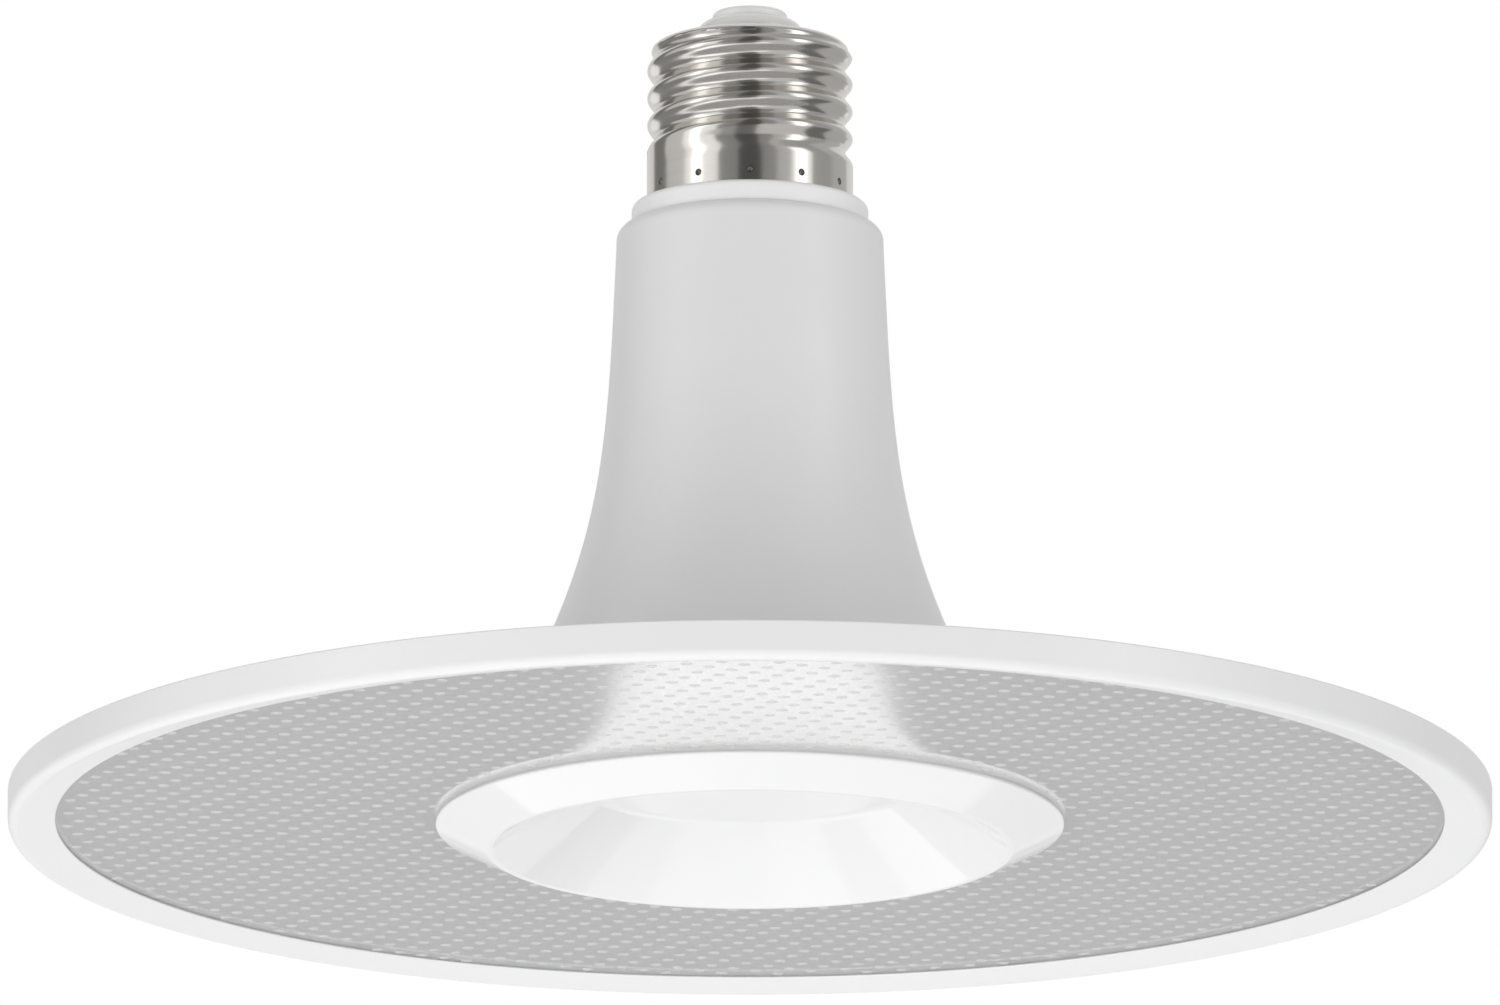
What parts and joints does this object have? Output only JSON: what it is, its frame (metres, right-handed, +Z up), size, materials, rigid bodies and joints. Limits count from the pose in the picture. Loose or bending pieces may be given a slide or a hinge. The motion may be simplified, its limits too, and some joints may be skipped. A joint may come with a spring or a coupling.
{
  "type": "led disc lamp",
  "caption": "Screw-cap LED lamp: flared white housing on a flat edge-lit disc with a see-through panel, a white outer ring and a dished hub.",
  "frame": {"origin": "centre of the hub cover's lowest rim, the plane that the lamp can stand on", "axes": "+Z up along the lamp's axis, from the disc to the screw cap's centre contact"},
  "size_m": [0.19, 0.19, 0.1106],
  "materials": {
    "nickel": "nickel-plated, satin to bright",
    "white_insulator": "glossy white",
    "red_lead": "insulated wire",
    "blue_lead": "insulated wire",
    "black_lead": "insulated wire",
    "collar_plastic": "satin off-white",
    "white_lacquer": "glossy white lacquer",
    "board_green": "solder mask",
    "film_yellow": "moulded case",
    "ferrite": "sintered, matt",
    "resistor_blue": "lacquered",
    "chip_black": "moulded, matt",
    "can_blue": "sleeved can",
    "bare_aluminium": "turned",
    "screw_steel": "zinc-plated",
    "strip_white": "coated film",
    "phosphor": "matt",
    "clear_panel": "satin acrylic with a fine lattice of dots",
    "white_gloss": "glossy white"
  },
  "bodies": {
    "root": {"cap_shell": "nickel", "centre_contact": "nickel", "cap_insulator": "white_insulator", "live_lead": "red_lead", "neutral_lead": "blue_lead", "neck_sleeve": "collar_plastic", "housing": "white_lacquer", "driver_board": "board_green", "film_capacitor": "film_yellow", "line_choke": "ferrite", "fusible_resistor": "resistor_blue", "bridge_rectifier": "chip_black", "bulk_capacitor": "can_blue", "driver_chip": "chip_black", "transformer": "ferrite", "output_capacitor": "can_blue", "positive_lead": "red_lead", "negative_lead": "black_lead", "led_carrier": "bare_aluminium", "carrier_screws": "screw_steel", "led_strip": "strip_white", "led_chips": "phosphor", "light_guide": "clear_panel", "outer_ring": "white_gloss", "back_ring": "white_gloss", "hub_cover": "white_gloss"}
  },
  "joints": []
}
